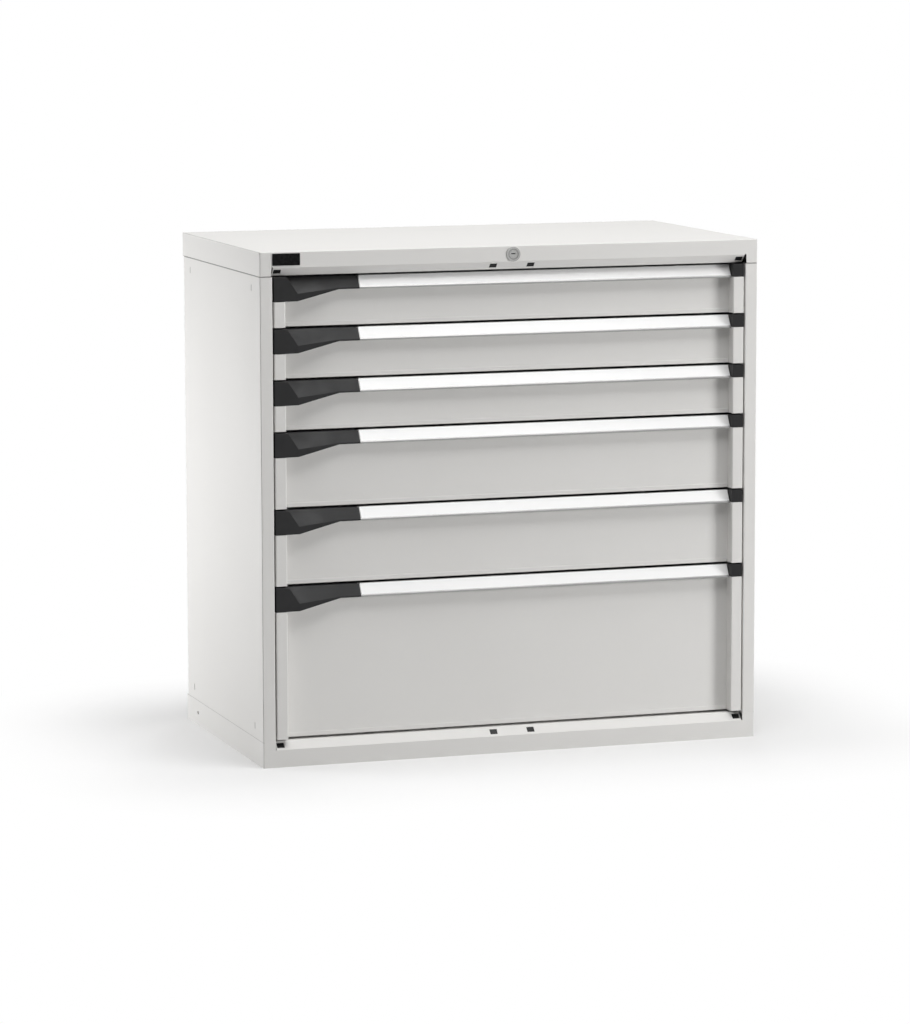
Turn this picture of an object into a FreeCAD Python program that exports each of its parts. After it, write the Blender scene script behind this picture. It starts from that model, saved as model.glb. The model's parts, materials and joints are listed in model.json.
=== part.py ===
import FreeCAD, Part
import math
import os

os.makedirs("parts", exist_ok=True)
V = FreeCAD.Vector

# All sizes are in millimetres. X runs to the right, Y to the back and Z up.
# A depth is a distance behind the plane of the posts, header and drawer strips.

# overall sizes
width = 1023.0
depth = 572.0
drawer_pitches = [100.0, 100.0, 100.0, 150.0, 150.0, 300.0]
base_height = 50.0
base_to_drawers = 4.0
drawers_to_top = 46.0
cover_lip = 47.5

# cabinet sheet metal
case_sheet = 1.5
bend_radius = 2.0
fold_radius = 0.5
seam_radius = 1.2
base_seam_radius = 0.5
post_width = 25.0
post_return = 25.0
rear_flange = 20.0
side_setback = 8.0
back_sheet = 1.0
back_side_margin = 5.0
cover_side_return = 18.0
ear_width = 23.0
ear_corner_radius = 4.0
relief_radius = 1.6
corner_relief_radius = 1.3
base_foot_flange = 22.0
sill_run_on = 30.0
header_run_on = 12.0
slope_lap = 4.0
slope_seam = 0.5

# sloped flanges above and below the drawers, with their slots
slope_run = 16.0
slope_end_margin = 1.0
slot_width = 15.0
slot_length = 12.0
slot_middle_x = 38.5
slot_outer_inset = 9.5
slot_clearance = 0.2
plug_flange_margin = 2.0
plug_flange_thickness = 1.2
plug_ring = 2.8
plug_boss_recess = 0.4

# marks and holes of the side walls
side_mark_inset = 59.5
side_mark_height = 24.5
side_mark_width = 6.0
side_mark_length = 13.5
side_mark_depth = 0.5
skirt_hole_radius = 4.0
skirt_hole_from_back = 85.0
skirt_hole_height = 25.0

# slotted uprights
upright_sheet = 1.5
upright_width = 34.0
upright_front = 28.0
upright_rear_gap = 13.5
upright_slot_pitch = 25.0
upright_slot_width = 4.0
upright_slot_length = 12.0

# drawer fronts
front_gap = 3.0
front_lift = 0.5
front_side_gap = 3.0
front_strip = 22.5
front_recess = 24.0
front_sheet = 1.2
front_bend = 0.8
front_side_return = 22.0
front_top_return = 10.0
panel_drop = 3.0
hem_height = 8.5
hem_radius = 0.8
end_seam = 0.3

# drawer trays
tray_sheet = 1.0
tray_lift = 5.0
tray_below_top = 15.0
tray_side_margin = 23.5
tray_rear_space = 85.8
tray_top_return = 6.0
divider_pitch = 34.0
divider_slot_width = 3.0
divider_slot_length = 12.0
divider_row_lift = 20.0
divider_row_pitch = 75.0
divider_end_margin = 22.0

# slides: a channel on the cabinet, a roller carriage and a channel on the tray
rail_sheet = 1.5
rail_height = 26.0
roller_radius = 12.0
roller_play = 0.3
roller_width = 7.5
roller_side_play = 0.8
roller_bore_play = 0.15
roller_pin_radius = 3.0
roller_head_radius = 4.5
roller_head_thickness = 0.6
roller_head_play = 0.1
carriage_plate = 3.0
carriage_height = 26.0
carriage_gap = 0.8
tray_channel_setback = 0.1
carriage_end = 20.0
stop_play = 1.0
inner_roller_front = 60.0
outer_roller_rear_inset = 36.0

# handle profile: its section has depths, and drops counted down from the top of the front
handle_top_drop = 1.2
handle_bevel = 0.8
handle_nose_depth = 9.6
handle_nose_drop = 24.2
handle_nose_height = 2.8
handle_wall = 2.5
handle_leg = 1.5
handle_leg_drop = 15.0
handle_left_x = 309.0
label_recess = 0.8
label_thickness = 0.6
label_top_edge = 0.6
label_low_edge = 2.2
label_end_gap = 1.5

# left grip
grip_facet_right_top = 457.0
grip_facet_right_low = 436.0
grip_facet_drop = 32.4
grip_height = 47.6
grip_top_fall = 1.0
grip_low_rise = 0.7
grip_lower_right = 351.0
grip_wall = 3.0
grip_bevel = 1.8
grip_edge_radius = 0.8
grip_groove = 4.5
grip_groove_depth = 1.5
grip_rib_thickness = 2.5
grip_rib_depth = 21.0

# right end cap
cap_height = 25.0
cap_depth = 22.5
cap_wall = 2.5
cap_edge_radius = 0.6

# latch lever
latch_pivot_depth = 13.0
latch_pivot_drop = 13.0
latch_barrel_radius = 4.0
latch_pin_radius = 2.0
latch_pin_reach = 2.2
latch_pin_end_play = 0.2
latch_running_clearance = 0.08
latch_end_play = 0.5
latch_paddle_depth = 10.5
latch_paddle_thickness = 2.0
latch_paddle_top = 29.0
latch_paddle_right = 392.0
latch_paddle_sweep = 3.5
latch_paddle_edge = 2.0
latch_arm_offset = 4.0
latch_arm_width = 6.0
latch_arm_height = 5.0
latch_nose_length = 4.5
latch_nose_chamfer = 1.0
latch_hook_overlap = 3.2
latch_hook_play = 1.0
keeper_depth = 29.0
keeper_sheet = 2.0
keeper_drop_top = 3.0
keeper_height = 7.5
keeper_reach = 20.5

# lock, its rod, the lock bar and the drawers' catches
lock_from_top = 16.5
lock_proud = 2.0
rosette_radius = 14.2
rosette_rim_inner = 10.6
rosette_step = 0.8
rosette_edge_radius = 0.7
barrel_radius = 9.8
barrel_depth = 22.0
barrel_hole_play = 0.3
lock_nut_radius = 12.5
lock_nut_thickness = 4.0
plug_radius = 8.0
plug_running_clearance = 0.08
plug_proud = 1.0
plug_tail = 3.0
keyhole_length = 8.6
keyhole_height = 2.2
keyhole_rise = 0.8
keyhole_depth = 8.0
rod_side = 6.0
journal_radius = 4.0
bearing_width = 28.0
bearing_drop = 9.0
bearing_sheet = 3.0
bearing_to_crank = 4.0
journal_run_on = 2.0
crank_radius = 10.0
crank_rest_angle = 45.0
crank_thickness = 3.0
crank_pin_radius = 3.0
crank_pin_play = 0.65
crank_rim = 3.5
crank_to_bar = 4.0
bar_thickness = 3.0
bar_width = 25.0
bar_to_back = 1.0
bar_head_margin = 3.0
bar_end = 10.0
guide_front_play = 0.6
guide_side_play = 0.6
guide_sheet = 1.2
guide_height = 12.0
guide_above_drawer = 82.0
guide_drawers = [0, 2, 5]
finger_width = 20.0
finger_thickness = 3.0
finger_tip_height = 12.0
finger_to_lip = 5.5
catch_height = 58.0
catch_sheet = 1.5
catch_width = 30.0
catch_reach = 38.8
catch_lip = 12.0
catch_play = 1.5

# badge plate, left bare
badge_length = 55.0
badge_height = 23.0
badge_thickness = 1.2
badge_top_margin = 3.3
badge_corner_radius = 1.2

# how far a cutting tool runs past the sheet it cuts, and how close two values count as equal
past = 1.0
closeness = 0.01

# levels and planes that follow from the sizes above
half_width = width / 2
zone_bottom = base_height + base_to_drawers
zone_top = zone_bottom + sum(drawer_pitches)
height = zone_top + drawers_to_top
cover_bottom = height - cover_lip
front_y = (lock_proud - depth) / 2
post_inner = half_width - post_width
front_half = post_inner - front_side_gap
recess_half = front_half - front_strip
side_rear = depth - side_setback
back_inner = side_rear - case_sheet - back_sheet
tray_half = front_half - tray_side_margin
tray_front = front_recess + front_sheet
tray_rear = depth - tray_rear_space
travel = tray_rear - tray_front - 2 * tray_sheet
lock_height = height - lock_from_top
lock_lift = 2 * crank_radius * math.sin(math.radians(crank_rest_angle))
slope_half = front_half + slope_end_margin
handle_right_x = recess_half - front_bend
header_fold = zone_top - slope_seam + slope_run
sill_fold = base_height - slope_run


def y(d):
    return front_y + d


# basic solids
def box(x0, x1, d0, d1, z0, z1):
    return Part.makeBox(x1 - x0, d1 - d0, z1 - z0, V(x0, y(d0), z0))


def cylinder_x(radius, x0, x1, d, z):
    return Part.makeCylinder(radius, x1 - x0, V(x0, y(d), z), V(1, 0, 0))


def cylinder_y(radius, d0, d1, x, z):
    return Part.makeCylinder(radius, d1 - d0, V(x, y(d0), z), V(0, 1, 0))


def in_side_view(x):
    return lambda d, z: V(x, y(d), z)


def in_front_view(d):
    return lambda x, z: V(x, y(d), z)


def in_plan(z):
    return lambda x, d: V(x, y(d), z)


def polygon_wire(points, place):
    corners = [place(*point) for point in points]
    return Part.makePolygon(corners + corners[:1])


def prism_side_view(points, x0, x1):
    face = Part.Face(polygon_wire(points, in_side_view(x0)))
    return face.extrude(V(x1 - x0, 0, 0))


def prism_front_view(points, d0, d1):
    face = Part.Face(polygon_wire(points, in_front_view(d0)))
    return face.extrude(V(0, d1 - d0, 0))


def prism_plan(points, z0, z1):
    face = Part.Face(polygon_wire(points, in_plan(z0)))
    return face.extrude(V(0, 0, z1 - z0))


def mirrored(shape):
    return shape.mirror(V(0, 0, 0), V(1, 0, 0))


def both_sides(shape):
    return [shape, mirrored(shape)]


def joined(shapes):
    return shapes[0].fuse(shapes[1:]).removeSplitter()


def without(shape, tools):
    return shape.cut(Part.makeCompound(tools))


# edge rounding, where wanted(middle point, direction) picks the edges
def rounded(shape, radius, wanted):
    chosen = []
    for edge in shape.Edges:
        first = edge.Vertexes[0].Point
        last = edge.Vertexes[-1].Point
        span = last - first
        straight = span.Length > closeness and near(span.Length, edge.Length)
        if straight and wanted((first + last) * 0.5, span.normalize()):
            chosen.append(edge)
    return shape.makeFillet(radius, chosen)


def near(value, target):
    return abs(value - target) < closeness


def is_vertical(direction):
    return near(abs(direction.z), 1)


def is_sideways(direction):
    return near(abs(direction.x), 1)


def is_in_depth(direction):
    return near(abs(direction.y), 1)


# section of a folded sheet: the points lie on its outer side and the sheet is on their left
def bend(before, corner, after, thickness, inner_radius):
    into = (corner - before).normalize()
    out = (after - corner).normalize()
    left_turn = into.x * out.y - into.y * out.x > 0
    outer = inner_radius + thickness if left_turn else inner_radius
    other = inner_radius if left_turn else inner_radius + thickness
    side = 1 if left_turn else -1
    tangent = outer * math.tan(into.getAngle(out) / 2)
    normal_in = V(-into.y, into.x, 0)
    normal_out = V(-out.y, out.x, 0)
    start = corner - into * tangent
    end = corner + out * tangent
    centre = start + normal_in * (side * outer)
    towards = (corner - centre).normalize()
    first = [start, centre + towards * outer, end]
    second = [start + normal_in * thickness, centre + towards * other, end + normal_out * thickness]
    return first, second


def folded_face(points, thickness, inner_radius, place):
    flat = [V(u, v, 0) for u, v in points]
    start_out = (flat[1] - flat[0]).normalize()
    end_in = (flat[-1] - flat[-2]).normalize()
    near_side = [[flat[0]]]
    far_side = [[flat[0] + V(-start_out.y, start_out.x, 0) * thickness]]
    for index in range(1, len(flat) - 1):
        first, second = bend(flat[index - 1], flat[index], flat[index + 1], thickness, inner_radius)
        near_side.append(first)
        far_side.append(second)
    near_side.append([flat[-1]])
    far_side.append([flat[-1] + V(-end_in.y, end_in.x, 0) * thickness])
    edges = []
    for side in (near_side, far_side):
        for index, piece in enumerate(side):
            spots = [place(p.x, p.y) for p in piece]
            if len(spots) == 3:
                edges.append(Part.Arc(*spots).toShape())
            if index:
                last = side[index - 1][-1]
                edges.append(Part.LineSegment(place(last.x, last.y), spots[0]).toShape())
    for a, b in ((near_side[0][0], far_side[0][0]), (near_side[-1][0], far_side[-1][0])):
        edges.append(Part.LineSegment(place(a.x, a.y), place(b.x, b.y)).toShape())
    return Part.Face(Part.Wire(Part.__sortEdges__(edges)))


def save(name, shape):
    solids = shape.Solids
    for solid in solids:
        if not solid.isValid() or solid.Volume <= 0:
            raise ValueError(name + " isn't a valid solid")
    body = solids[0] if len(solids) == 1 else Part.makeCompound(solids)
    body.exportStep("parts/" + name + ".step")
    print("%-22s %2d solids %10.1f cm3" % (name, len(solids), body.Volume / 1000))


# levels of one drawer, counted from the top drawer
def levels(number):
    top = zone_top - sum(drawer_pitches[:number])
    bottom = top - drawer_pitches[number]
    return bottom + front_lift, top + front_lift - front_gap


# sloped flanges and what sits in their slots
def slot_positions():
    outer = slope_half - slot_outer_inset
    return [-outer, -slot_middle_x, slot_middle_x, outer]


def slope_frames():
    half = slope_run / 2
    header = (half, header_fold - half, 135.0)
    sill = (half, sill_fold + half, 45.0)
    return header, sill


def on_slope(shape, x, frame):
    d, z, angle = frame
    moved = shape.copy()
    moved.rotate(V(0, 0, 0), V(1, 0, 0), angle)
    moved.translate(V(x, y(d), z))
    return moved


def centred_box(length_x, length_y, z0, z1):
    return Part.makeBox(length_x, length_y, z1 - z0, V(-length_x / 2, -length_y / 2, z0))


def slot_cutters(frame):
    tool = centred_box(slot_width, slot_length, -3 * case_sheet, 2 * case_sheet)
    return [on_slope(tool, x, frame) for x in slot_positions()]


def slot_plugs():
    margin = 2 * plug_flange_margin
    outside = centred_box(slot_width + margin, slot_length + margin,
                          -case_sheet - plug_flange_thickness, -case_sheet)
    neck = centred_box(slot_width - 2 * slot_clearance, slot_length - 2 * slot_clearance,
                       -case_sheet, -case_sheet / 2)
    boss = centred_box(slot_width - 2 * plug_ring, slot_length - 2 * plug_ring,
                       -case_sheet, -plug_boss_recess)
    plug = joined([outside, neck, boss])
    plugs = [on_slope(plug, x, frame) for frame in slope_frames() for x in slot_positions()]
    return Part.makeCompound(plugs)


# cabinet
def side_marks():
    marks = []
    radius = side_mark_width / 2
    straight = side_mark_length - side_mark_width
    for d in (side_mark_inset, depth - side_mark_inset):
        for z in (cover_bottom - side_mark_height, base_height + side_mark_height):
            x0 = -half_width - past
            x1 = -half_width + side_mark_depth
            middle = box(x0, x1, d - radius, d + radius, z - straight / 2, z + straight / 2)
            low = cylinder_x(radius, x0, x1, d, z - straight / 2)
            high = cylinder_x(radius, x0, x1, d, z + straight / 2)
            marks.append(joined([middle, low, high]))
    return marks


def side_panel():
    block = box(-half_width, -post_inner, 0, side_rear, base_height, cover_bottom)

    def is_kept_sharp(p):
        return near(p.x, -post_inner) and near(p.y, y(side_rear))

    def is_top_seam(p):
        return near(p.z, cover_bottom) and (near(p.y, front_y) or near(p.x, -half_width))

    def is_base_seam(p):
        return near(p.z, base_height) and near(p.x, -half_width)

    block = rounded(block, bend_radius, lambda p, t: is_vertical(t) and not is_kept_sharp(p))
    block = rounded(block, seam_radius, lambda p, t: is_top_seam(p))
    block = rounded(block, base_seam_radius, lambda p, t: is_base_seam(p))
    low = base_height + case_sheet
    high = cover_bottom - case_sheet
    rear = side_rear - case_sheet
    outer = -half_width + case_sheet
    inner = -post_inner + past
    flange = -half_width + rear_flange
    inside = box(outer, -post_inner - case_sheet, case_sheet, rear, low, high)
    open_side = box(outer, inner, post_return, rear, low, high)
    behind = box(flange, inner, post_return, side_rear + past, low, high)
    rear_plates = box(flange, inner, rear - back_sheet, side_rear + past,
                      base_height - past, cover_bottom + past)
    return without(block, [inside, open_side, behind, rear_plates] + side_marks())


def guide_levels():
    return [levels(number)[0] + guide_above_drawer for number in guide_drawers]


def guide_loop(z):
    front = back_inner - bar_to_back - bar_thickness - guide_front_play - guide_sheet
    half = bar_width / 2 + guide_side_play + guide_sheet
    path = [(-half, back_inner), (-half, front), (half, front), (half, back_inner)]
    face = folded_face(path, guide_sheet, fold_radius, in_plan(z - guide_height / 2))
    return face.extrude(V(0, 0, guide_height))


def back_panel():
    half = half_width - back_side_margin
    d0 = back_inner
    d1 = back_inner + back_sheet
    sheet = box(-half, half, d0, d1, base_height, cover_bottom)
    low_end = box(-half - past, -post_inner, d0 - past, d1 + past,
                  base_height - past, base_height + case_sheet)
    high_end = box(-half - past, -post_inner, d0 - past, d1 + past,
                   cover_bottom - case_sheet, cover_bottom + past)
    sheet = without(sheet, both_sides(low_end) + both_sides(high_end))
    return joined([sheet] + [guide_loop(z) for z in guide_levels()])


def header_flange():
    path = [(0, header_fold + slope_lap), (0, header_fold), (slope_run, header_fold - slope_run),
            (slope_run + header_run_on, header_fold - slope_run)]
    face = folded_face(path, case_sheet, fold_radius, in_side_view(-slope_half))
    flange = face.extrude(V(2 * slope_half, 0, 0))
    return without(flange, slot_cutters(slope_frames()[0]))


def ear_cutters(side):
    r = ear_corner_radius
    x_in = side * (half_width - ear_width)
    x_out = x_in + side * r
    low = cover_bottom - past
    square = box(min(x_in, x_out), max(x_in, x_out), -past, case_sheet, low, cover_bottom + r)
    disc = cylinder_y(r, -2 * past, case_sheet + past, x_out, cover_bottom + r)
    relief = cylinder_y(relief_radius, -past, case_sheet + past, (side * slope_half + x_in) / 2, header_fold)
    corner = V(side * (half_width - corner_relief_radius), y(corner_relief_radius),
               height - corner_relief_radius)
    return [square.cut(disc), relief, Part.makeSphere(corner_relief_radius, corner)]


def rod_bearing():
    d0 = bearing_depth()
    d1 = d0 + bearing_sheet
    half = bearing_width / 2
    plate = box(-half, half, d0, d1, lock_height - bearing_drop, height - case_sheet)
    bore = cylinder_y(journal_radius + plug_running_clearance, d0 - past, d1 + past, 0, lock_height)
    return plate.cut(bore)


def top_cover():
    shell = box(-half_width, half_width, 0, depth, cover_bottom, height)
    shell = rounded(shell, bend_radius, lambda p, t: is_vertical(t) or near(p.z, height))
    shell = rounded(shell, seam_radius, lambda p, t: near(p.z, cover_bottom))
    inside = box(-half_width + case_sheet, half_width - case_sheet, case_sheet, depth - case_sheet,
                 cover_bottom + case_sheet, height - case_sheet)
    side_in = half_width - cover_side_return
    mouth = box(-side_in, side_in, case_sheet, back_inner, cover_bottom - past, cover_bottom + 2 * case_sheet)
    ear_in = half_width - ear_width
    front_opening = box(-ear_in, ear_in, -past, case_sheet, cover_bottom - past, header_fold)
    lock_hole = cylinder_y(barrel_radius + barrel_hole_play, -past, case_sheet + past, 0, lock_height)
    shell = without(shell, [inside, front_opening, mouth, lock_hole] + ear_cutters(-1) + ear_cutters(1))
    return joined([shell, header_flange(), rod_bearing()])


def base_frame():
    shell = box(-half_width, half_width, 0, depth, 0, base_height)
    shell = rounded(shell, bend_radius, lambda p, t: is_vertical(t))
    shell = rounded(shell, base_seam_radius,
                    lambda p, t: near(p.z, base_height) and near(abs(p.x), half_width))
    inside = box(-half_width + case_sheet, half_width - case_sheet, case_sheet, depth - case_sheet,
                 case_sheet, base_height - case_sheet)
    underside = box(-half_width + base_foot_flange, half_width - base_foot_flange, base_foot_flange,
                    depth - base_foot_flange, -past, 2 * case_sheet)
    above_sill = box(-post_inner, post_inner, -past, slope_run + sill_run_on / 2,
                     sill_fold, base_height + past)
    skirt_hole = cylinder_x(skirt_hole_radius, -half_width - past, half_width + past,
                            depth - skirt_hole_from_back, skirt_hole_height)
    shell = without(shell, [inside, underside, above_sill, skirt_hole])
    path = [(slope_run + sill_run_on, base_height), (slope_run, base_height), (0, sill_fold),
            (0, sill_fold - slope_lap)]
    face = folded_face(path, case_sheet, fold_radius, in_side_view(-slope_half))
    sill = face.extrude(V(2 * slope_half, 0, 0))
    sill = without(sill, slot_cutters(slope_frames()[1]))
    return joined([shell, sill])


def upright(d0):
    low = base_height + case_sheet
    high = cover_bottom - case_sheet
    outer = -half_width + case_sheet
    path = [(outer, d0), (-post_inner, d0), (-post_inner, d0 + upright_width), (outer, d0 + upright_width)]
    face = folded_face(path, upright_sheet, fold_radius, in_plan(low))
    profile = face.extrude(V(0, 0, high - low))
    middle = d0 + upright_width / 2
    count = int(sum(drawer_pitches) / upright_slot_pitch)
    slots = []
    for index in range(count):
        z = zone_bottom + (index + 0.5) * upright_slot_pitch
        slots.append(box(-post_inner - 2 * upright_sheet, -post_inner + past,
                         middle - upright_slot_width / 2, middle + upright_slot_width / 2,
                         z - upright_slot_length / 2, z + upright_slot_length / 2))
    return without(profile, slots)


def keepers():
    tabs = []
    for number in range(len(drawer_pitches)):
        top = levels(number)[1] - keeper_drop_top
        tabs.append(box(-post_inner, -post_inner + keeper_reach, keeper_depth, keeper_depth + keeper_sheet,
                        top - keeper_height, top))
    return tabs


def rear_upright_depth():
    return side_rear - upright_rear_gap - upright_width


def slotted_uprights():
    front = upright(upright_front)
    rear = upright(rear_upright_depth())
    front_left = joined([front] + keepers())
    return Part.makeCompound([front_left, mirrored(front), rear, mirrored(rear)])


# slides
def channel_half():
    return roller_radius + roller_play + rail_sheet


def channel(web_x, tip_x, d0, d1, z, stops):
    x0, x1 = min(web_x, tip_x), max(web_x, tip_x)
    half = channel_half()
    inner = half - rail_sheet
    body = box(x0, x1, d0, d1, z - half, z + half)
    if web_x < tip_x:
        hollow = box(web_x + rail_sheet, tip_x + past, d0 - past, d1 + past, z - inner, z + inner)
    else:
        hollow = box(tip_x - past, web_x - rail_sheet, d0 - past, d1 + past, z - inner, z + inner)
    pieces = [body.cut(hollow)]
    for d in stops:
        pieces.append(box(x0, x1, d, d + rail_sheet, z - half, z + half))
    return joined(pieces)


def slide_planes():
    """Distances from the middle plane: tray channel, carriage plate and cabinet channel."""
    tray_tip = tray_half + rail_sheet + roller_width + 2 * roller_side_play - tray_channel_setback
    plate_in = tray_tip + carriage_gap
    plate_out = plate_in + carriage_plate
    cabinet_tip = plate_out + carriage_gap
    return tray_tip, plate_in, plate_out, cabinet_tip


def cabinet_rail_span():
    return upright_front, rear_upright_depth() + upright_width


def cabinet_rails():
    tip = slide_planes()[3]
    d0, d1 = cabinet_rail_span()
    rails = []
    for number in range(len(drawer_pitches)):
        z = levels(number)[0] + rail_height
        rail = channel(-post_inner, -tip, d0, d1, z, [d0, d1 - rail_sheet])
        rails += both_sides(rail)
    return Part.makeCompound(rails)


def tray_rail(z):
    tip = slide_planes()[0]
    return channel(-tray_half, -tip, tray_front, tray_rear, z, [tray_rear - rail_sheet])


def roller(x0, x1, d, z):
    wheel = cylinder_x(roller_radius, x0, x1, d, z)
    bore = cylinder_x(roller_pin_radius + roller_bore_play, x0 - past, x1 + past, d, z)
    return wheel.cut(bore)


def inner_wheel(d, z):
    """A roller on the tray's side of the carriage plate, with its pin."""
    plate_in = slide_planes()[1]
    x0 = -plate_in + roller_side_play
    x1 = x0 + roller_width
    head = x1 + roller_head_play
    pin = cylinder_x(roller_pin_radius, -plate_in - carriage_plate / 2, head + roller_head_thickness / 2,
                     d, z)
    disc = cylinder_x(roller_head_radius, head, head + roller_head_thickness, d, z)
    return roller(x0, x1, d, z), [pin, disc]


def outer_wheel(d, z):
    """A roller on the cabinet's side of the carriage plate, with its pin."""
    plate_out = slide_planes()[2]
    x1 = -plate_out - roller_side_play
    x0 = x1 - roller_width
    head = x0 - roller_head_play
    pin = cylinder_x(roller_pin_radius, head - roller_head_thickness / 2, -plate_out + carriage_plate / 2,
                     d, z)
    disc = cylinder_x(roller_head_radius, head - roller_head_thickness, head, d, z)
    return roller(x0, x1, d, z), [pin, disc]


def carriage(number):
    z = levels(number)[0] + rail_height
    plate_in, plate_out = slide_planes()[1:3]
    rail_front, rail_rear = cabinet_rail_span()
    clear = stop_play + roller_radius
    outer_front = rail_front + rail_sheet + clear + travel / 2
    outer_rear = rail_rear - outer_roller_rear_inset
    inner_rear = tray_rear - rail_sheet - clear - travel / 2
    plate = box(-plate_out, -plate_in, inner_roller_front - carriage_end, outer_rear + carriage_end,
                z - carriage_height / 2, z + carriage_height / 2)
    pairs = [inner_wheel(inner_roller_front, z), inner_wheel(inner_rear, z),
             outer_wheel(outer_front, z), outer_wheel(outer_rear, z)]
    pieces = [plate]
    for wheel, pin in pairs:
        pieces += pin
    left = [joined(pieces)] + [wheel for wheel, pin in pairs]
    return Part.makeCompound(left + [mirrored(piece) for piece in left])


# drawers
def divider_rows(low, high):
    rows = []
    z = low + tray_sheet + divider_row_lift
    while z + divider_slot_length < high - divider_slot_length:
        rows.append(z)
        z += divider_row_pitch
    return rows


def slot_row(start, end):
    """Evenly pitched places between start and end, centred."""
    count = int((end - start) / divider_pitch)
    first = (start + end - count * divider_pitch) / 2
    return [first + index * divider_pitch for index in range(count + 1)]


def divider_slots(low, high):
    slots = []
    half = divider_slot_width / 2
    wall = 2 * tray_sheet
    span_x = tray_half - divider_end_margin
    for z in divider_rows(low, high):
        top = z + divider_slot_length
        for x in slot_row(-span_x, span_x):
            slots.append(box(x - half, x + half, tray_rear - wall, tray_rear + past, z, top))
        for d in slot_row(tray_front + divider_end_margin, tray_rear - divider_end_margin):
            slots += both_sides(box(-tray_half - past, -tray_half + wall, d - half, d + half, z, top))
    return slots


def catch(z):
    """The lock's catch behind a tray: a tab with a lip turned down, and the tab's root on the tray."""
    half = catch_width / 2
    end = tray_rear + catch_reach
    tab = box(-half, half, tray_rear, end, z, z + catch_sheet)
    lip = box(-half, half, end - catch_sheet, end, z - catch_lip, z + catch_sheet)
    root = box(-half, half, tray_rear, tray_rear + catch_sheet, z - catch_lip, z + catch_sheet)
    return [tab, lip, root]


def tray(number):
    bottom, top = levels(number)
    low = bottom + tray_lift
    high = top - tray_below_top
    outside = box(-tray_half, tray_half, tray_front, tray_rear, low, high)
    inside = box(-tray_half + tray_sheet, tray_half - tray_sheet, tray_front + tray_sheet,
                 tray_rear - tray_sheet, low + tray_sheet, high + past)
    walls = without(outside.cut(inside), divider_slots(low, high))
    flange = box(-tray_half - tray_top_return, -tray_half + tray_sheet, tray_front + tray_top_return,
                 tray_rear, high - tray_sheet, high)
    rail = tray_rail(bottom + rail_height)
    return joined([walls] + both_sides(flange) + both_sides(rail) + catch(bottom + catch_height))


def front_panel(number):
    bottom, top = levels(number)
    left_path = [(-front_half, front_side_return), (-front_half, 0), (-recess_half, 0),
                 (-recess_half, front_recess)]
    right_path = [(-x, d) for x, d in left_path[::-1]]
    path = left_path + right_path
    face = folded_face(path, front_sheet, front_bend, in_plan(bottom))
    sheet = face.extrude(V(0, 0, top - panel_drop - bottom))
    grip_low = top - grip_height - end_seam
    cap_low = top - cap_height - end_seam
    grip_notch = box(-front_half - past, -recess_half, -past, tray_front + past, grip_low, top)
    cap_notch = box(recess_half, front_half + past, -past, tray_front + past, cap_low, top)
    sheet = without(sheet, [grip_notch, cap_notch])
    half = recess_half - front_bend
    hem_front = front_recess - front_sheet
    hem = box(-half, half, hem_front, front_recess + front_sheet / 2, bottom, bottom + hem_height)
    hem = rounded(hem, hem_radius, lambda p, t: near(p.y, y(hem_front)) and is_sideways(t))
    top_return = box(-half, half, front_recess, tray_front + front_top_return,
                     top - panel_drop - front_sheet, top - panel_drop)
    return joined([sheet, hem, top_return])


def handle_outline(nose_depth, nose_drop, nose_end, bevel):
    """Section of a handle as (depth, height): a sloped face with a nose, and a leg on the panel."""
    bevel_d = front_recess - bevel
    bevel_z = handle_top_drop + bevel / 2
    fall = (nose_drop - bevel_z) / (bevel_d - nose_depth)
    shift = handle_wall * math.hypot(1, fall)
    inner_d = nose_depth + handle_wall
    inner_z = nose_drop + shift - fall * handle_wall
    leg_d = front_recess - handle_leg
    leg_z = bevel_z + shift - fall * (leg_d - bevel_d)
    return [(front_recess, -handle_top_drop), (bevel_d, -bevel_z), (nose_depth, -nose_drop),
            (nose_depth, -nose_end), (inner_d, -nose_end), (inner_d, -inner_z), (leg_d, -leg_z),
            (leg_d, -handle_leg_drop), (front_recess, -handle_leg_drop)]


def raised(points, top):
    return [(d, z + top) for d, z in points]


def thin_outline(bevel):
    return handle_outline(handle_nose_depth, handle_nose_drop, handle_nose_drop + handle_nose_height, bevel)


def profile_outline():
    return thin_outline(handle_bevel)


def label_outline(depth_below, thickness):
    """Band on the handle's slope, from depth_below under its surface down to thickness more."""
    points = profile_outline()
    upper = V(points[1][0], points[1][1], 0)
    lower = V(points[2][0], points[2][1], 0)
    along = (lower - upper).normalize()
    inward = V(-along.y, along.x, 0)
    first = upper + along * label_top_edge + inward * depth_below
    last = lower - along * label_low_edge + inward * depth_below
    corners = [first, last, last + inward * thickness, first + inward * thickness]
    return [(p.x, p.y) for p in corners]


def handle(number):
    top = levels(number)[1]
    bar = prism_side_view(raised(profile_outline(), top), -handle_left_x, handle_right_x)
    groove = prism_side_view(raised(label_outline(-past, past + label_recess), top),
                             -handle_left_x - past, handle_right_x + past)
    return bar.cut(groove)


def label_strip(number):
    top = levels(number)[1]
    outline = raised(label_outline(label_recess - label_thickness, label_thickness), top)
    return prism_side_view(outline, -handle_left_x + label_end_gap, handle_right_x - label_end_gap / 2)


def grip_block(top):
    low = top - grip_height
    right = -grip_facet_right_low
    facet = [(-front_half, top), (-grip_facet_right_top, top - grip_top_fall),
             (right, top - grip_facet_drop), (right, low + grip_low_rise), (-front_half, low)]
    block = prism_front_view(facet, 0, front_recess)

    def is_facet_edge(p):
        return near(p.y, front_y) and p.z > top - grip_facet_drop and not near(p.x, right)

    block = rounded(block, grip_edge_radius, lambda p, t: is_facet_edge(p))
    hollow = box(-front_half + grip_wall, right + past, grip_wall, front_recess + past,
                 low - past, top - grip_wall)
    return block.cut(hollow)


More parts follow.
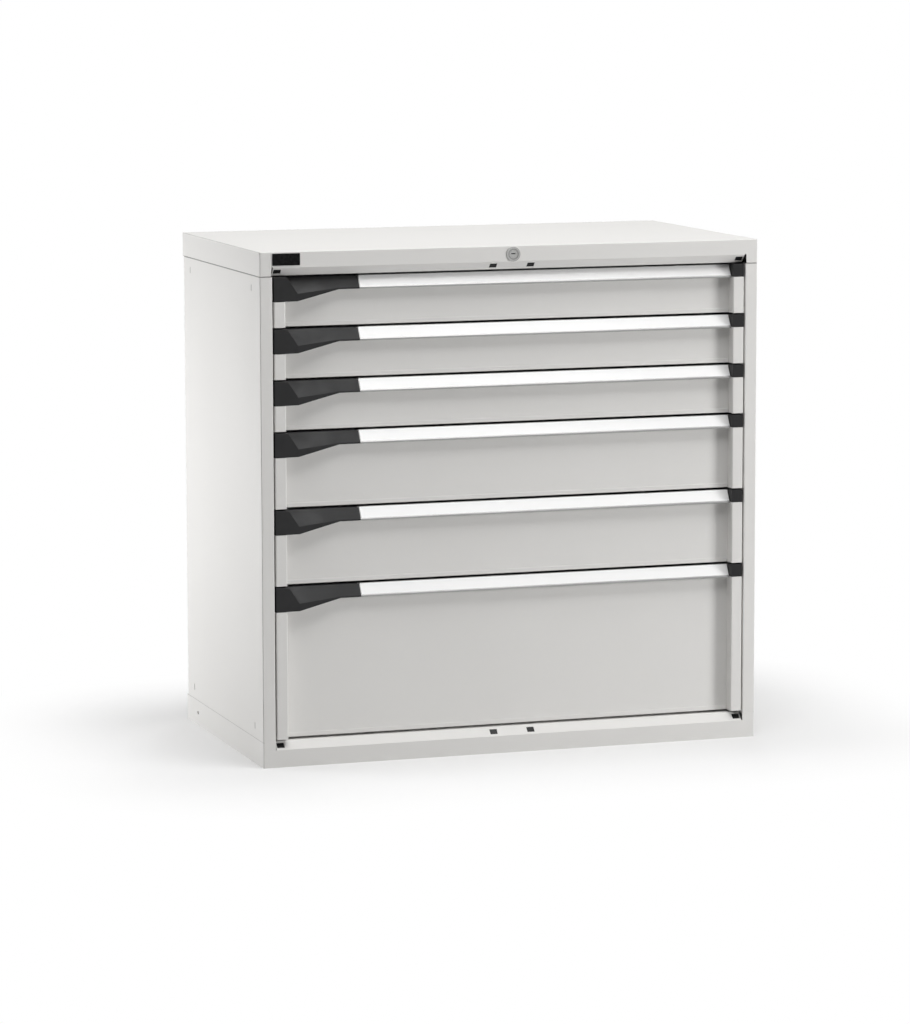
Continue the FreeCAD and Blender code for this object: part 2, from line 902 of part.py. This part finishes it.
def grip_spigot(top, right):
    """The stepped end of the grip that meets the handle profile."""
    full = prism_side_view(raised(profile_outline(), top), right, -handle_left_x)
    stepped = full.copy()
    stepped.translate(V(0, grip_groove_depth, 0))
    return full.common(stepped)


def grip(number):
    top = levels(number)[1]
    thin = raised(thin_outline(grip_bevel), top)
    thick = raised(handle_outline(0.0, grip_facet_drop, grip_height - grip_low_rise, grip_bevel), top)
    rib_x = -grip_facet_right_top
    end_right = -handle_left_x - grip_groove
    end = prism_side_view(thin, -grip_lower_right, end_right)
    sections = [polygon_wire(thick, in_side_view(-grip_facet_right_low)),
                polygon_wire(thin, in_side_view(-grip_lower_right))]
    wing = Part.makeLoft(sections, True, True)
    shelf = prism_side_view(thick, rib_x - grip_rib_thickness, -grip_facet_right_low)
    rib = box(rib_x - grip_rib_thickness, rib_x, grip_wall / 2, front_recess,
              top - grip_rib_depth, top - grip_wall / 2)
    bore_left = -front_half + grip_wall - latch_pin_reach - latch_pin_end_play
    bore = cylinder_x(latch_pin_radius + latch_running_clearance, bore_left, rib_x + past,
                      latch_pivot_depth, top - latch_pivot_drop)
    return joined([grip_block(top), rib, shelf, wing, end, grip_spigot(top, end_right)]).cut(bore)


def end_cap(number):
    top = levels(number)[1]
    low = top - cap_height
    block = box(recess_half, front_half, 0, cap_depth, low, top)
    block = rounded(block, cap_edge_radius, lambda p, t: near(p.y, front_y))
    hollow = box(recess_half + cap_wall, front_half - cap_wall, cap_wall, cap_depth + past,
                 low + cap_wall, top - cap_wall)
    return block.cut(hollow)


def lower_edge(x):
    """Drop of the grip's lower edge at a distance from the middle."""
    share = (grip_facet_right_low - x) / (grip_facet_right_low - grip_lower_right)
    low = grip_height - grip_low_rise
    return low + (handle_nose_drop + handle_nose_height - low) * share


def latch_paddle(top, left, low):
    """The plate behind the grip that the fingers squeeze."""
    d0 = latch_paddle_depth
    d1 = d0 + latch_paddle_thickness
    right = -latch_paddle_right
    sweep = latch_paddle_sweep
    knee = -grip_facet_right_low
    paddle_top = top - latch_paddle_top
    plan = [(left, d0), (knee, d0), (right, d0 + sweep), (right, d1 + sweep), (knee, d1), (left, d1)]
    paddle = prism_plan(plan, low - past, paddle_top)
    right_low = top - lower_edge(latch_paddle_right) + latch_paddle_edge
    window = [(left, paddle_top), (right, paddle_top), (right, right_low), (knee, low), (left, low)]
    return paddle.common(prism_front_view(window, d0 - past, d1 + sweep + past))


def latch_hook(top, x):
    """The arm that reaches back under the keeper and the nose that rises behind it."""
    front = keeper_depth + keeper_sheet + latch_hook_play
    rear = front + latch_nose_length
    keeper_low = top - keeper_drop_top - keeper_height
    nose_top = keeper_low + latch_hook_overlap
    arm_top = keeper_low - latch_hook_play
    arm_low = arm_top - latch_arm_height
    chamfer = latch_nose_chamfer
    outline = [(latch_pivot_depth, arm_low), (rear, arm_low), (rear, nose_top - chamfer),
               (rear - chamfer, nose_top), (front, nose_top), (front, arm_top), (latch_pivot_depth, arm_top)]
    return prism_side_view(outline, x, x + latch_arm_width)


def latch(number):
    top = levels(number)[1]
    z = top - latch_pivot_drop
    wall = -front_half + grip_wall
    left = wall + latch_end_play
    rib_face = -grip_facet_right_top - grip_rib_thickness
    right = rib_face - latch_end_play
    barrel = cylinder_x(latch_barrel_radius, left, right, latch_pivot_depth, z)
    pin = cylinder_x(latch_pin_radius, wall - latch_pin_reach + latch_pin_end_play,
                     rib_face + latch_pin_reach, latch_pivot_depth, z)
    low = top - grip_height + latch_paddle_edge + grip_low_rise
    stem = box(left, right, latch_paddle_depth, latch_paddle_depth + latch_paddle_thickness, low, z)
    hook = latch_hook(top, left + latch_arm_offset)
    return joined([barrel, pin, stem, latch_paddle(top, left, low), hook])


# lock
def lock_cylinder():
    rosette = cylinder_y(rosette_radius, -lock_proud, 0, 0, lock_height)
    rim = [edge for edge in rosette.Edges if near(edge.BoundBox.YMax, y(-lock_proud))]
    rosette = rosette.makeFillet(rosette_edge_radius, rim)
    floor = -lock_proud + rosette_step
    step = cylinder_y(rosette_rim_inner, -lock_proud - past, floor, 0, lock_height)
    barrel = cylinder_y(barrel_radius, floor, barrel_depth, 0, lock_height)
    nut = cylinder_y(lock_nut_radius, case_sheet, case_sheet + lock_nut_thickness, 0, lock_height)
    bore = cylinder_y(plug_radius + plug_running_clearance, -lock_proud - past, barrel_depth + past,
                      0, lock_height)
    return joined([rosette.cut(step), barrel, nut]).cut(bore)


def crank_depth():
    return back_inner - bar_to_back - bar_thickness - crank_to_bar - crank_thickness


def bearing_depth():
    return crank_depth() - bearing_to_crank - bearing_sheet


def crank_pin_place():
    angle = math.radians(crank_rest_angle)
    return -crank_radius * math.cos(angle), lock_height - crank_radius * math.sin(angle)


def crank():
    """Hub, web and eye of the crank on the rod, with the pin that lifts the lock bar."""
    d0 = crank_depth()
    d1 = d0 + crank_thickness
    pin_x, pin_z = crank_pin_place()
    rim = crank_pin_radius + crank_rim
    across = V(-pin_z + lock_height, 0, pin_x).normalize() * rim
    corners = [(across.x, lock_height + across.z), (pin_x + across.x, pin_z + across.z),
               (pin_x - across.x, pin_z - across.z), (-across.x, lock_height - across.z)]
    hub = cylinder_y(rim, d0, d1, 0, lock_height)
    web = prism_front_view(corners, d0, d1)
    eye = cylinder_y(rim, d0, d1, pin_x, pin_z)
    pin = cylinder_y(crank_pin_radius, d0, back_inner - bar_to_back / 2, pin_x, pin_z)
    return [hub, web, eye, pin]


def lock_plug():
    tail = barrel_depth + plug_tail
    plug = cylinder_y(plug_radius, -plug_proud, tail, 0, lock_height)
    key_z = lock_height + keyhole_rise
    keyhole = box(-keyhole_length / 2, keyhole_length / 2, -plug_proud - past, keyhole_depth,
                  key_z - keyhole_height / 2, key_z + keyhole_height / 2)
    journal_start = bearing_depth() - journal_run_on
    half = rod_side / 2
    rod = box(-half, half, tail - past, journal_start + past, lock_height - half, lock_height + half)
    journal = cylinder_y(journal_radius, journal_start, crank_depth() + crank_thickness, 0, lock_height)
    return joined([plug.cut(keyhole), rod, journal] + crank())


def finger_top(number):
    """Top of a finger's tip with the bar down."""
    return levels(number)[0] + catch_height - catch_play - lock_lift


def lock_finger(tip_top, bar_front):
    """An angle welded to the bar: a foot forward from the bar and a tip that rises into the catch."""
    half = finger_width / 2
    rear = tray_rear + catch_reach - catch_sheet - finger_to_lip
    front = rear - finger_thickness
    foot_top = tip_top - finger_tip_height
    foot = box(-half, half, front, bar_front, foot_top - finger_thickness, foot_top)
    tip = box(-half, half, front, rear, foot_top - finger_thickness, tip_top)
    return joined([foot, tip])


def lock_bar():
    d1 = back_inner - bar_to_back
    d0 = d1 - bar_thickness
    pin_x, pin_z = crank_pin_place()
    reach = crank_pin_radius + crank_pin_play
    slot_left = -crank_radius
    slot_right = pin_x
    head_top = pin_z + reach + bar_head_margin
    head_low = pin_z - reach - 2 * bar_head_margin
    tip_tops = [finger_top(number) for number in range(len(drawer_pitches))]
    low = min(tip_tops) - finger_tip_height - finger_thickness - bar_end
    half = bar_width / 2
    strip = box(-half, half, d0, d1, low, head_low + past)
    head = box(slot_left - reach - bar_head_margin, half, d0, d1, head_low, head_top)
    slot = [box(slot_left, slot_right, d0 - past, d1 + past, pin_z - reach, pin_z + reach),
            cylinder_y(reach, d0 - past, d1 + past, slot_left, pin_z),
            cylinder_y(reach, d0 - past, d1 + past, slot_right, pin_z)]
    bar = joined([strip, head]).cut(joined(slot))
    return Part.makeCompound([bar] + [lock_finger(tip_top, d0) for tip_top in tip_tops])


def badge_plate():
    top = height - badge_top_margin
    left = -post_inner
    plate = box(left, left + badge_length, -badge_thickness, 0, top - badge_height, top)
    return rounded(plate, badge_corner_radius, lambda p, t: is_in_depth(t))


save("left_side_panel", side_panel())
save("right_side_panel", mirrored(side_panel()))
save("back_panel", back_panel())
save("top_cover", top_cover())
save("base_frame", base_frame())
save("slotted_uprights", slotted_uprights())
save("cabinet_rails", cabinet_rails())
save("slot_plugs", slot_plugs())
save("badge_plate", badge_plate())
save("lock_cylinder", lock_cylinder())
save("lock_plug", lock_plug())
save("lock_bar", lock_bar())
for number in range(len(drawer_pitches)):
    name = "drawer_%d_" % (number + 1)
    save(name + "tray", tray(number))
    save(name + "front", front_panel(number))
    save(name + "handle", handle(number))
    save(name + "label", label_strip(number))
    save(name + "grip", grip(number))
    save(name + "end_cap", end_cap(number))
    save(name + "latch", latch(number))
    save(name + "carriage", carriage(number))
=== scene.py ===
import json
import math

import bpy
from mathutils import Matrix, Vector

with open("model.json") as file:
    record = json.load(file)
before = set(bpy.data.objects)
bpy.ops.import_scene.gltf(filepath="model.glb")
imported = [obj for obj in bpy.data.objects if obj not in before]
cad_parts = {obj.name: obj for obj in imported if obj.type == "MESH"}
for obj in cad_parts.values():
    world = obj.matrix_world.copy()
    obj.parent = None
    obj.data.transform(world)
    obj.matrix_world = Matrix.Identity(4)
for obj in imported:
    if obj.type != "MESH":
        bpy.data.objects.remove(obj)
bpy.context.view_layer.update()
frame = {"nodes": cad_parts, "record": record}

# Linear colours of the finishes: the darker and the lighter tone of each
paint_tones = ((0.775, 0.765, 0.745), (0.805, 0.795, 0.775))
tray_tones = ((0.70, 0.692, 0.675), (0.735, 0.727, 0.71))
zinc_tones = ((0.50, 0.505, 0.515), (0.64, 0.645, 0.655))
# The handle aluminium is darker than its own grey anodised tone: painted shade and a painted dark reflection
# on the lip
shaded_aluminium_tones = ((0.27, 0.27, 0.268), (0.36, 0.36, 0.357))
label_tones = ((0.94, 0.94, 0.935), (0.97, 0.97, 0.965))
plastic_tones = ((0.009, 0.009, 0.0095), (0.015, 0.015, 0.0155))
enamel_tones = ((0.004, 0.004, 0.0042), (0.007, 0.007, 0.0073))
# The nickel's darker tone is near black and is reached only inside the keyhole, where it is painted shade
nickel_and_keyhole_shade_tones = ((0.02, 0.02, 0.0195), (0.50, 0.50, 0.49))
# Dark grey of the painted shade in the cabinet's seams and pressed side marks
painted_shade_colour = (0.22, 0.217, 0.21)
white = (1.0, 1.0, 1.0)

# Roughness of the finishes, from the smoothest to the dullest places
paint_roughness = (0.46, 0.56)
tray_roughness = (0.50, 0.60)
zinc_roughness = (0.34, 0.50)
aluminium_roughness = (0.30, 0.42)
label_roughness = (0.34, 0.44)
plastic_roughness = (0.42, 0.56)
enamel_roughness = (0.22, 0.34)
nickel_roughness = (0.22, 0.36)
floor_roughness = 0.9

# Strength of the mirror image on finishes that aren't metal
plain_specular = 0.50
paint_specular = 0.30
tray_specular = 0.35
plastic_specular = 0.30
enamel_specular = 0.08
floor_specular = 0.10

# The clear film over the label strips
label_film_weight = 0.5
label_film_roughness = 0.15

# Real sizes of the surface detail, in metres
coat_grain_size = 0.0011
coat_grain_height = 0.00004
coat_cloud_size = 0.35
leather_grain_size = 0.0009
leather_grain_height = 0.00006
hand_polish_size = 0.03
drawn_line_length = 0.09
drawn_line_width = 0.0005
drawn_line_height = 0.00001
spangle_size = 0.009
zinc_grain_size = 0.002
zinc_grain_height = 0.00001
turned_line_width = 0.0004
turned_line_height = 0.00001
paper_fibre_size = 0.0007
paper_fibre_height = 0.000008
enamel_ripple_size = 0.006
enamel_ripple_height = 0.000008

# Fineness of the noise in the finishes, and the levels between which it becomes a mask
soft_detail = 2.0
grain_detail = 3.0
fibre_detail = 4.0
soft_levels = (0.35, 0.65)
even_levels = (0.30, 0.70)
wide_levels = (0.25, 0.75)

# What the clouds and the pebbles each add to the tone of the paint
cloud_share = 0.6
pebble_share = 0.4

# The lock's groove and keyhole round its axis, in metres, the groove's darkening, which is partly patina and
# partly painted shade, and the tones of the rings
lock_axis_height = 0.9835
lock_groove_radius = 0.0093
lock_groove_half = 0.0014
lock_groove_shade_and_patina = 0.35
lock_ring_tones = (0.6, 1.0)
keyhole_reach = 0.0055
keyhole_middle_y = -0.281
keyhole_half_depth = 0.0045

# Where painted shade darkens the cabinet's paint in the seams and on the floor of the pressed side marks, in
# metres, and how strongly it darkens it
cover_seam_height = 0.9525
cover_seam_half = 0.0011
cover_seam_shade = 0.8
base_seam_height = 0.0500
base_seam_half = 0.0006
base_seam_shade = 0.45
side_face_x = 0.5095
side_mark_floor_x = 0.5110
side_mark_floor_half = 0.0003
side_mark_shade = 0.4

# The camera of the photograph
camera_place = (-2.7396, -8.1489, 1.6216)
camera_yaw = math.radians(18.422)
camera_pitch = math.radians(7.818)
camera_roll = math.radians(-0.123)
camera_lens = 150.96
camera_sensor = 36.0
near_clip = 0.05
far_clip = 200.0

# The studio
cabinet_middle = Vector((0.0, 0.0, 0.5))
floor_reach = 30.0
foot_half = (0.51, 0.285, 0.0)
floor_shadow_reach = 0.5
floor_shown = 0.9
floor_bounce = 0.6

# Sockets of a Mix node that blends colours
mix_share = 0
mix_first = 6
mix_second = 7
mix_result = 2


def feed(tree, socket, given):
    """Puts a number or a colour on a socket, or links another socket to it."""
    if isinstance(given, float):
        socket.default_value = given
    elif isinstance(given, tuple):
        socket.default_value = (*given, 1.0)
    else:
        tree.links.new(given, socket)


def math_node(tree, operation, first, second=0.0):
    """A math node on sockets or numbers; gives its output socket."""
    node = tree.nodes.new("ShaderNodeMath")
    node.operation = operation
    feed(tree, node.inputs[0], first)
    feed(tree, node.inputs[1], second)
    return node.outputs["Value"]


def vector_node(tree, operation, first, second=(0.0, 0.0, 0.0)):
    """A vector math node on a socket and a plain vector."""
    node = tree.nodes.new("ShaderNodeVectorMath")
    node.operation = operation
    tree.links.new(first, node.inputs[0])
    node.inputs[1].default_value = second
    return node


def within(tree, value, middle, reach):
    """1 where a value lies within reach of the middle, else 0."""
    apart = math_node(tree, "ABSOLUTE", math_node(tree, "SUBTRACT", value, middle))
    return math_node(tree, "LESS_THAN", apart, reach)


def between(tree, mask, ends):
    """Maps a 0-1 mask onto the range between two ends, which are numbers or sockets."""
    node = tree.nodes.new("ShaderNodeMapRange")
    tree.links.new(mask, node.inputs["Value"])
    for label, end in zip(("To Min", "To Max"), ends):
        feed(tree, node.inputs[label], end)
    return node.outputs["Result"]


def noise_mask(tree, place, size, detail, levels):
    """Noise of a real size, in metres, stretched to 0-1 between two of its levels."""
    noise = tree.nodes.new("ShaderNodeTexNoise")
    noise.inputs["Scale"].default_value = 1.0 / size
    noise.inputs["Detail"].default_value = detail
    tree.links.new(place, noise.inputs["Vector"])
    stretch = tree.nodes.new("ShaderNodeMapRange")
    tree.links.new(noise.outputs["Fac"], stretch.inputs["Value"])
    for label, level in zip(("From Min", "From Max"), levels):
        stretch.inputs[label].default_value = level
    return stretch.outputs["Result"]


def colour_mix(tree, share, first, second):
    """Blends from the first colour to the second; gives the output socket."""
    mix = tree.nodes.new("ShaderNodeMix")
    mix.data_type = "RGBA"
    feed(tree, mix.inputs[mix_share], share)
    feed(tree, mix.inputs[mix_first], first)
    feed(tree, mix.inputs[mix_second], second)
    return mix.outputs[mix_result]


def object_place(tree):
    """The place on the piece in Object coordinates, as a socket."""
    return tree.nodes.new("ShaderNodeTexCoord").outputs["Object"]


def object_axes(tree):
    """The three Object coordinates, each as a socket."""
    axes = tree.nodes.new("ShaderNodeSeparateXYZ")
    tree.links.new(object_place(tree), axes.inputs["Vector"])
    return axes.outputs["X"], axes.outputs["Y"], axes.outputs["Z"]


def empty_material(name):
    """A new material and its node tree, with its plain shader."""
    material = bpy.data.materials.new(name)
    material.use_nodes = True
    return material, material.node_tree


def join_finish(tree, tones, mask, roughness, height, relief, metallic=0.0, specular=plain_specular):
    """Joins tone, roughness and relief to the material's own shader."""
    shader = tree.nodes["Principled BSDF"].inputs
    shader["Metallic"].default_value = metallic
    shader["Specular IOR Level"].default_value = specular
    tree.links.new(colour_mix(tree, mask, *tones), shader["Base Color"])
    tree.links.new(roughness, shader["Roughness"])
    bump = tree.nodes.new("ShaderNodeBump")
    bump.inputs["Distance"].default_value = relief
    tree.links.new(height, bump.inputs["Height"])
    tree.links.new(bump.outputs["Normal"], shader["Normal"])


def powder_coat_skin():
    """The group shared by all paint: a fine pebbled skin with broad, faint clouds of tone."""
    group = bpy.data.node_groups.new("powder_coat_skin", "ShaderNodeTree")
    sockets = {"INPUT": ("Roughness Low", "Roughness High"), "OUTPUT": ("Tone", "Roughness", "Height")}
    for way, labels in sockets.items():
        for label in labels:
            group.interface.new_socket(label, in_out=way, socket_type="NodeSocketFloat")
    given = group.nodes.new("NodeGroupInput").outputs
    out = group.nodes.new("NodeGroupOutput").inputs
    place = object_place(group)
    clouds = noise_mask(group, place, coat_cloud_size, soft_detail, soft_levels)
    pebbles = noise_mask(group, place, coat_grain_size, grain_detail, wide_levels)
    tone = math_node(group, "ADD", math_node(group, "MULTIPLY", clouds, cloud_share),
                     math_node(group, "MULTIPLY", pebbles, pebble_share))
    roughness = between(group, clouds, (given["Roughness Low"], given["Roughness High"]))
    group.links.new(tone, out["Tone"])
    group.links.new(roughness, out["Roughness"])
    group.links.new(pebbles, out["Height"])
    return group


def powder_coat(name, skin, tones, roughness, specular):
    """One paint of the cabinet: the shared skin with its own tones and roughness."""
    material, tree = empty_material(name)
    detail = tree.nodes.new("ShaderNodeGroup")
    detail.node_tree = skin
    detail.inputs["Roughness Low"].default_value = roughness[0]
    detail.inputs["Roughness High"].default_value = roughness[1]
    join_finish(tree, tones, detail.outputs["Tone"], detail.outputs["Roughness"],
                detail.outputs["Height"], coat_grain_height, specular=specular)
    return material


def paint_seam_shade(tree):
    """Painted shade in the seams under the cover and over the base, and on the floor of the pressed side
    marks.
    """
    x, _, z = object_axes(tree)
    sideways = math_node(tree, "ABSOLUTE", x)
    outside = math_node(tree, "GREATER_THAN", sideways, side_face_x)
    cover_seam = within(tree, z, cover_seam_height, cover_seam_half)
    base_seam = math_node(tree, "MULTIPLY", within(tree, z, base_seam_height, base_seam_half), outside)
    side_marks = within(tree, sideways, side_mark_floor_x, side_mark_floor_half)
    low_seam_shade = math_node(tree, "MAXIMUM", math_node(tree, "MULTIPLY", base_seam, base_seam_shade),
                         math_node(tree, "MULTIPLY", side_marks, side_mark_shade))
    seam_shade = math_node(tree, "MAXIMUM", math_node(tree, "MULTIPLY", cover_seam, cover_seam_shade), low_seam_shade)
    base_colour = tree.nodes["Principled BSDF"].inputs["Base Color"]
    unshaded_colour = base_colour.links[0].from_socket
    # Painted shade: the paint is darkened towards the dark grey in the seams and side marks
    tree.links.new(colour_mix(tree, seam_shade, unshaded_colour, painted_shade_colour), base_colour)


def grained_plastic():
    """Moulded black plastic: leather-like cells and a faint polish from hands."""
    material, tree = empty_material("grained_black_plastic")
    place = object_place(tree)
    cells = tree.nodes.new("ShaderNodeTexVoronoi")
    cells.feature = "SMOOTH_F1"
    cells.inputs["Scale"].default_value = 1.0 / leather_grain_size
    tree.links.new(place, cells.inputs["Vector"])
    polish = noise_mask(tree, place, hand_polish_size, soft_detail, soft_levels)
    join_finish(tree, plastic_tones, polish, between(tree, polish, plastic_roughness),
                cells.outputs["Distance"], leather_grain_height, specular=plastic_specular)
    return material


def drawn_aluminium():
    """Anodised extrusion: fine lines along the handle."""
    material, tree = empty_material("handle_aluminium_satin")
    drawn = tree.nodes.new("ShaderNodeMapping")
    across = 1.0 / drawn_line_width
    drawn.inputs["Scale"].default_value = (1.0 / drawn_line_length, across, across)
    tree.links.new(object_place(tree), drawn.inputs["Vector"])
    # The mapping has scaled the place already, so the noise keeps a size of 1
    lines = noise_mask(tree, drawn.outputs["Vector"], 1.0, soft_detail, even_levels)
    # The tones hold painted shade and a painted dark reflection, darker than the aluminium's own grey
    join_finish(tree, shaded_aluminium_tones, lines, between(tree, lines, aluminium_roughness),
                lines, drawn_line_height, metallic=1.0)
    return material


def galvanised_sheet():
    """Zinc-coated steel: large soft crystals, each with its own brightness, under a fine grain."""
    material, tree = empty_material("galvanised_sheet")
    place = object_place(tree)
    cells = tree.nodes.new("ShaderNodeTexVoronoi")
    cells.inputs["Scale"].default_value = 1.0 / spangle_size
    tree.links.new(place, cells.inputs["Vector"])
    crystal = tree.nodes.new("ShaderNodeSeparateColor")
    tree.links.new(cells.outputs["Color"], crystal.inputs["Color"])
    grain = noise_mask(tree, place, zinc_grain_size, grain_detail, even_levels)
    roughness = between(tree, crystal.outputs["Green"], zinc_roughness)
    join_finish(tree, zinc_tones, crystal.outputs["Red"], roughness, grain, zinc_grain_height, metallic=1.0)
    return material


def turned_nickel():
    """Nickel-plated lock: rings turned round its axis, a groove round the plug darkened by patina and by
    painted shade, and painted shade in the keyhole.
    """
    material, tree = empty_material("lock_nickel")
    x, y, z = object_axes(tree)
    rise = math_node(tree, "SUBTRACT", z, lock_axis_height)
    radius_squared = math_node(tree, "ADD", math_node(tree, "MULTIPLY", x, x),
                               math_node(tree, "MULTIPLY", rise, rise))
    radius = math_node(tree, "SQRT", radius_squared)
    noise = tree.nodes.new("ShaderNodeTexNoise")
    noise.noise_dimensions = "1D"
    noise.inputs["Scale"].default_value = 1.0 / turned_line_width
    tree.links.new(radius, noise.inputs["W"])
    rings = noise.outputs["Fac"]
    # The groove round the plug is darkened, partly as patina and partly as painted shade
    groove = math_node(tree, "MULTIPLY", within(tree, radius, lock_groove_radius, lock_groove_half),
                       lock_groove_shade_and_patina)
    # Painted shade: the inside of the keyhole is coloured near black
    keyhole = math_node(tree, "MULTIPLY", within(tree, y, keyhole_middle_y, keyhole_half_depth),
                        math_node(tree, "LESS_THAN", radius, keyhole_reach))
    # polish is 1 on the open nickel and lower where patina and painted shade darken the groove and where
    # painted shade fills the keyhole
    polish = math_node(tree, "SUBTRACT", 1.0, math_node(tree, "MAXIMUM", groove, keyhole))
    tone_with_painted_shade = math_node(tree, "MULTIPLY", between(tree, rings, lock_ring_tones), polish)
    join_finish(tree, nickel_and_keyhole_shade_tones, tone_with_painted_shade, between(tree, rings, nickel_roughness),
                rings, turned_line_height, metallic=1.0)
    return material


def label_card():
    """White label strip: faint fibres under a clear film."""
    material, tree = empty_material("label_card")
    fibres = noise_mask(tree, object_place(tree), paper_fibre_size, fibre_detail, even_levels)
    join_finish(tree, label_tones, fibres, between(tree, fibres, label_roughness),
                fibres, paper_fibre_height)
    shader = tree.nodes["Principled BSDF"].inputs
    shader["Coat Weight"].default_value = label_film_weight
    shader["Coat Roughness"].default_value = label_film_roughness
    return material


def badge_enamel():
    """Gloss black plate: smooth, with a slight ripple."""
    material, tree = empty_material("badge_enamel")
    ripple = noise_mask(tree, object_place(tree), enamel_ripple_size, soft_detail, even_levels)
    join_finish(tree, enamel_tones, ripple, between(tree, ripple, enamel_roughness),
                ripple, enamel_ripple_height, specular=enamel_specular)
    return material


def make_materials():
    """One finish for each material slot of the record."""
    skin = powder_coat_skin()
    cabinet_paint = powder_coat("cabinet_powder_coat", skin, paint_tones, paint_roughness, paint_specular)
    paint_seam_shade(cabinet_paint.node_tree)
    return {
        "cabinet_paint": cabinet_paint,
        "front_paint": powder_coat("front_powder_coat", skin, paint_tones, paint_roughness, paint_specular),
        "tray_paint": powder_coat("tray_powder_coat", skin, tray_tones, tray_roughness, tray_specular),
        "zinc_steel": galvanised_sheet(),
        "handle_aluminium": drawn_aluminium(),
        "label_white": label_card(),
        "black_plastic": grained_plastic(),
        "badge_black": badge_enamel(),
        "lock_metal": turned_nickel(),
    }


def dress_nodes(materials):
    """Gives every piece the finish of its material slot in the record."""
    for part in frame["record"]["subparts"]:
        slots = frame["nodes"][part["node"]].data.materials
        for place in range(len(slots)):
            slots[place] = materials[part["material_slot"]]


def camera_like_photo():
    """A long lens, in front and to the left of the cabinet, looking slightly down."""
    data = bpy.data.cameras.new("photo_camera")
    data.lens = camera_lens
    data.sensor_width = camera_sensor
    data.clip_start = near_clip
    data.clip_end = far_clip
    camera = bpy.data.objects.new("photo_camera", data)
    bpy.context.scene.collection.objects.link(camera)
    turn = (Matrix.Rotation(-camera_yaw, 4, "Z")
            @ Matrix.Rotation(math.pi / 2 - camera_pitch, 4, "X")
            @ Matrix.Rotation(camera_roll, 4, "Z"))
    camera.matrix_world = Matrix.Translation(camera_place) @ turn
    bpy.context.scene.camera = camera


def soft_box(name, place, side, power, mirrored=True):
    """A square lamp that faces the cabinet; where it isn't mirrored, reflections leave it out."""
    data = bpy.data.lights.new(name, "AREA")
    data.shape = "SQUARE"
    data.size = side
    data.energy = power
    lamp = bpy.data.objects.new(name, data)
    bpy.context.scene.collection.objects.link(lamp)
    lamp.visible_glossy = mirrored
    lamp.location = place
    lamp.rotation_mode = "QUATERNION"
    lamp.rotation_quaternion = (cabinet_middle - Vector(place)).to_track_quat("-Z", "Y")


def viewing_rays(tree):
    """1 for rays from the camera, or by way of a mirror or a clear piece; 0 for rays that carry light."""
    path = tree.nodes.new("ShaderNodeLightPath")
    mirrored = math_node(tree, "MAXIMUM", path.outputs["Is Glossy Ray"], path.outputs["Is Transmission Ray"])
    return math_node(tree, "MAXIMUM", path.outputs["Is Camera Ray"], mirrored)


def white_backdrop():
    """White all round, seen by the camera and in reflections, that sheds no light on the cabinet."""
    world = bpy.data.worlds.new("studio")
    world.use_nodes = True
    tree = world.node_tree
    backdrop = tree.nodes["Background"].inputs
    feed(tree, backdrop["Color"], white)
    tree.links.new(viewing_rays(tree), backdrop["Strength"])
    bpy.context.scene.world = world


def away_from_foot(tree):
    """Distance on the floor from the rectangle that the cabinet stands on."""
    sides = vector_node(tree, "ABSOLUTE", object_place(tree)).outputs["Vector"]
    past_edges = vector_node(tree, "SUBTRACT", sides, foot_half).outputs["Vector"]
    outside = vector_node(tree, "MAXIMUM", past_edges).outputs["Vector"]
    return vector_node(tree, "LENGTH", outside).outputs["Value"]


def floor_material():
    """Pale floor that keeps the shadow near the cabinet and turns into the white backdrop further out."""
    material, tree = empty_material("studio_floor")
    shader = tree.nodes["Principled BSDF"]
    shader.inputs["Roughness"].default_value = floor_roughness
    shader.inputs["Specular IOR Level"].default_value = floor_specular
    rays = viewing_rays(tree)
    tree.links.new(between(tree, rays, (floor_bounce, floor_shown)), shader.inputs["Base Color"])
    glow = tree.nodes.new("ShaderNodeEmission")
    feed(tree, glow.inputs["Color"], white)
    fade = tree.nodes.new("ShaderNodeMapRange")
    fade.interpolation_type = "SMOOTHSTEP"
    fade.inputs["From Max"].default_value = floor_shadow_reach
    tree.links.new(away_from_foot(tree), fade.inputs["Value"])
    seen = math_node(tree, "MULTIPLY", fade.outputs["Result"], rays)
    mix = tree.nodes.new("ShaderNodeMixShader")
    for socket, source in zip(mix.inputs, (seen, shader.outputs["BSDF"], glow.outputs["Emission"])):
        tree.links.new(source, socket)
    tree.links.new(mix.outputs["Shader"], tree.nodes["Material Output"].inputs["Surface"])
    return material


def lay_floor():
    """A wide plane under the cabinet."""
    bpy.ops.object.select_all(action="DESELECT")
    bpy.ops.mesh.primitive_plane_add(size=2 * floor_reach, location=(0.0, 0.0, 0.0))
    floor = bpy.context.object
    floor.name = "studio_floor"
    floor.data.materials.append(floor_material())


dress_nodes(make_materials())
camera_like_photo()
lay_floor()
white_backdrop()
soft_box("overhead", place=(0.0, -1.2, 5.0), side=4.0, power=226.0)
soft_box("right_low", place=(4.2, -3.2, 0.8), side=1.5, power=140.0, mirrored=False)
soft_box("left_side", place=(-2.6, 1.2, 0.6), side=1.1, power=31.0)
soft_box("left_near", place=(-1.2, 1.1, 0.45), side=0.7, power=3.2)
soft_box("back_fill", place=(1.2, 3.2, 0.5), side=0.9, power=45.0)
bpy.context.scene.view_settings.view_transform = "Standard"
